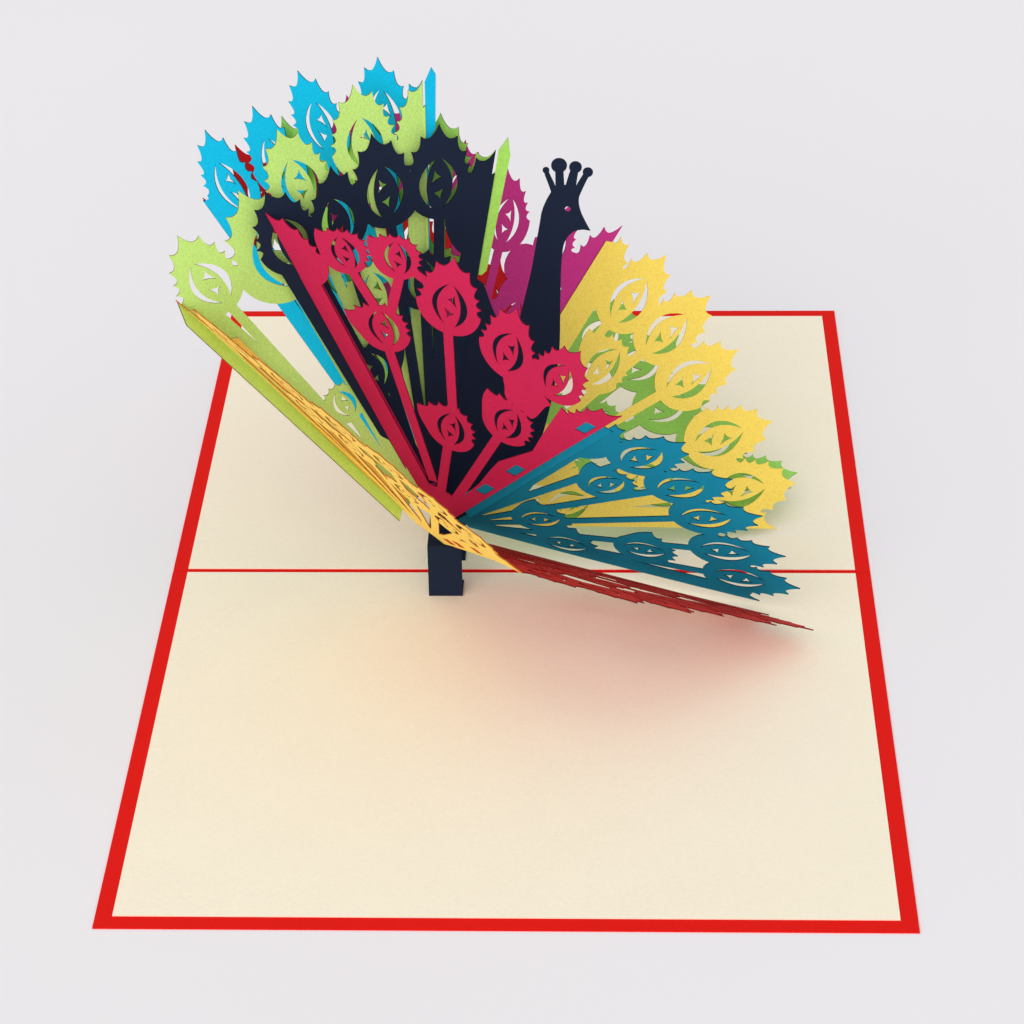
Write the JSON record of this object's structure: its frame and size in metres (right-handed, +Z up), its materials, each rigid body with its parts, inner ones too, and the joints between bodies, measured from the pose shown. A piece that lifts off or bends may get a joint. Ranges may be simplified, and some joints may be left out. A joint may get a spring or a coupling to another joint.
{
  "type": "pop-up card with a paper peacock",
  "caption": "Open folded card with a strap over its fold, carrying a cut paper peacock inside a ring of coloured feather fans.",
  "frame": {"origin": "middle of the card's fold, on the surface the open card lies on", "axes": "+X to the right along the fold, the way the peacock looks; +Y away from the reader, along the card's long side; +Z up, square to the open card"},
  "size_m": [0.19, 0.3, 0.1477],
  "materials": {
    "red_card": "matte",
    "cream_paper": "matte",
    "navy_paper": "matte",
    "leaf_green_paper": "matte",
    "crimson_paper": "matte",
    "fuchsia_paper": "matte",
    "teal_paper": "matte",
    "yellow_paper": "matte",
    "red_paper": "matte",
    "light_green_paper": "matte",
    "pale_yellow_paper": "matte",
    "dark_red_paper": "matte",
    "lime_paper": "matte",
    "cyan_paper": "matte"
  },
  "bodies": {
    "root": {"card_cover": "red_card", "near_page_liner": "cream_paper", "far_page_liner": "cream_paper", "bridge_strap": "navy_paper", "peacock_body": "navy_paper", "navy_fan": "navy_paper", "leaf_green_fan": "leaf_green_paper", "crimson_fan": "crimson_paper", "fuchsia_fan": "fuchsia_paper", "teal_fan": "teal_paper", "yellow_fan": "yellow_paper", "red_fan": "red_paper", "light_green_fan": "light_green_paper", "pale_yellow_fan": "pale_yellow_paper", "dark_red_fan": "dark_red_paper", "lime_fan": "lime_paper", "cyan_fan": "cyan_paper"}
  },
  "joints": []
}
